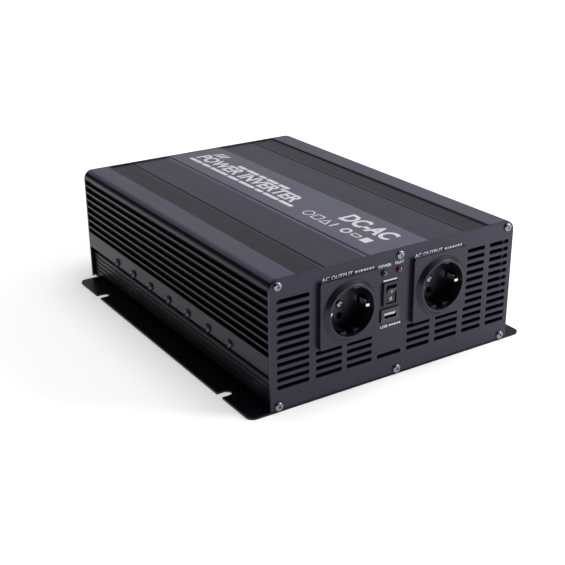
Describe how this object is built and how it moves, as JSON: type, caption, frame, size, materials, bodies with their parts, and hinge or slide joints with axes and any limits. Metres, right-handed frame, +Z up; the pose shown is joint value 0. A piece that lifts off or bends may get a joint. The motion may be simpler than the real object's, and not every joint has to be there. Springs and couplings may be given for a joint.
{
  "type": "power inverter",
  "caption": "Finned aluminium power inverter with earthed mains sockets, a rocker switch, lamps, a USB port, rear cooling fans and screw-down battery terminals.",
  "frame": {"origin": "on the floor below the middle of the whole object's box", "axes": "+X right along the front panel, +Y to the rear, +Z up"},
  "size_m": [0.272, 0.364, 0.107],
  "materials": {
    "black_anodised_aluminium": "satin black anodised, extruded",
    "black_painted_panel": "satin black powder paint",
    "black_moulded_plastic": "semi-matte black moulding",
    "grey_moulded_plastic": "semi-matte warm grey moulding",
    "red_moulded_plastic": "glossy red moulding",
    "green_lens": "clear tinted epoxy",
    "red_lens": "clear tinted epoxy",
    "zinc_plated_steel": "bright zinc plate",
    "nickel_plated_brass": "bright nickel plate",
    "brass": "turned",
    "copper": "rolled copper",
    "circuit_board": "green solder mask",
    "ferrite_and_winding": "dull grey ferrite",
    "capacitor_sleeve": "shrink sleeve"
  },
  "bodies": {
    "case": {"top_cover": "black_anodised_aluminium", "bottom_chassis": "black_anodised_aluminium", "left_clamp_bar": "zinc_plated_steel", "right_clamp_bar": "zinc_plated_steel", "front_panel": "black_painted_panel", "rear_panel": "black_painted_panel", "front_panel_screw_1": "zinc_plated_steel", "front_panel_screw_2": "zinc_plated_steel", "front_panel_screw_3": "zinc_plated_steel", "front_panel_screw_4": "zinc_plated_steel", "front_panel_screw_5": "zinc_plated_steel", "front_panel_screw_6": "zinc_plated_steel", "rear_panel_screw_1": "zinc_plated_steel", "rear_panel_screw_2": "zinc_plated_steel", "rear_panel_screw_3": "zinc_plated_steel", "rear_panel_screw_4": "zinc_plated_steel", "rear_panel_screw_5": "zinc_plated_steel", "rear_panel_screw_6": "zinc_plated_steel", "left_socket_body": "black_moulded_plastic", "left_socket_earth_strap": "nickel_plated_brass", "left_socket_back": "black_moulded_plastic", "left_socket_lower_contact": "brass", "left_socket_upper_contact": "brass", "left_socket_screw": "zinc_plated_steel", "right_socket_body": "black_moulded_plastic", "right_socket_earth_strap": "nickel_plated_brass", "right_socket_back": "black_moulded_plastic", "right_socket_lower_contact": "brass", "right_socket_upper_contact": "brass", "right_socket_screw": "zinc_plated_steel", "switch_housing": "black_moulded_plastic", "power_lamp": "green_lens", "fault_lamp": "red_lens", "usb_insert": "grey_moulded_plastic", "usb_shell": "zinc_plated_steel", "left_fan_frame": "black_moulded_plastic", "left_fan_guard": "zinc_plated_steel", "right_fan_frame": "black_moulded_plastic", "right_fan_guard": "zinc_plated_steel", "positive_terminal_base": "red_moulded_plastic", "positive_terminal_stud": "brass", "positive_busbar": "copper", "negative_terminal_base": "black_moulded_plastic", "negative_terminal_stud": "brass", "negative_busbar": "copper", "earth_screw": "brass", "main_board": "circuit_board", "front_transformer": "ferrite_and_winding", "rear_transformer": "ferrite_and_winding", "output_choke": "copper", "front_capacitor": "capacitor_sleeve", "rear_capacitor": "capacitor_sleeve", "indicator_board": "circuit_board"},
    "switch_rocker": {"switch_rocker": "black_moulded_plastic"},
    "left_fan_impeller": {"left_fan_impeller": "black_moulded_plastic"},
    "right_fan_impeller": {"right_fan_impeller": "black_moulded_plastic"},
    "positive_clamp_washer": {"positive_clamp_washer": "zinc_plated_steel"},
    "positive_terminal_knob": {"positive_terminal_knob": "red_moulded_plastic"},
    "negative_clamp_washer": {"negative_clamp_washer": "zinc_plated_steel"},
    "negative_terminal_knob": {"negative_terminal_knob": "black_moulded_plastic"}
  },
  "joints": [
    {"name": "switch_rocker_tilt", "type": "hinge", "parent": "case", "child": "switch_rocker", "pos_m": [-0.0089, -0.172, 0.0723], "axis": [-1, 0, 0], "range_deg": [0, 20]},
    {"name": "left_fan_spin", "type": "hinge", "parent": "case", "child": "left_fan_impeller", "pos_m": [-0.038, 0.141, 0.054], "axis": [0, 1, 0], "continuous": true},
    {"name": "right_fan_spin", "type": "hinge", "parent": "case", "child": "right_fan_impeller", "pos_m": [0.038, 0.141, 0.054], "axis": [0, 1, 0], "continuous": true},
    {"name": "positive_washer_slide", "type": "slide", "parent": "case", "child": "positive_clamp_washer", "axis": [0, 1, 0], "range_m": [-0.0025, 0.0025]},
    {"name": "positive_knob_turn", "type": "hinge", "parent": "positive_clamp_washer", "child": "positive_terminal_knob", "pos_m": [-0.096, 0.166, 0.062], "axis": [0, 1, 0], "range_deg": [-721, 721]},
    {"name": "negative_washer_slide", "type": "slide", "parent": "case", "child": "negative_clamp_washer", "axis": [0, 1, 0], "range_m": [-0.0025, 0.0025]},
    {"name": "negative_knob_turn", "type": "hinge", "parent": "negative_clamp_washer", "child": "negative_terminal_knob", "pos_m": [0.096, 0.166, 0.062], "axis": [0, 1, 0], "range_deg": [-721, 721]}
  ],
  "couplings": [
    {"joint": "positive_knob_turn", "follows": "positive_washer_slide", "rad_per_m": 5026.5},
    {"joint": "negative_knob_turn", "follows": "negative_washer_slide", "rad_per_m": 5026.5}
  ]
}
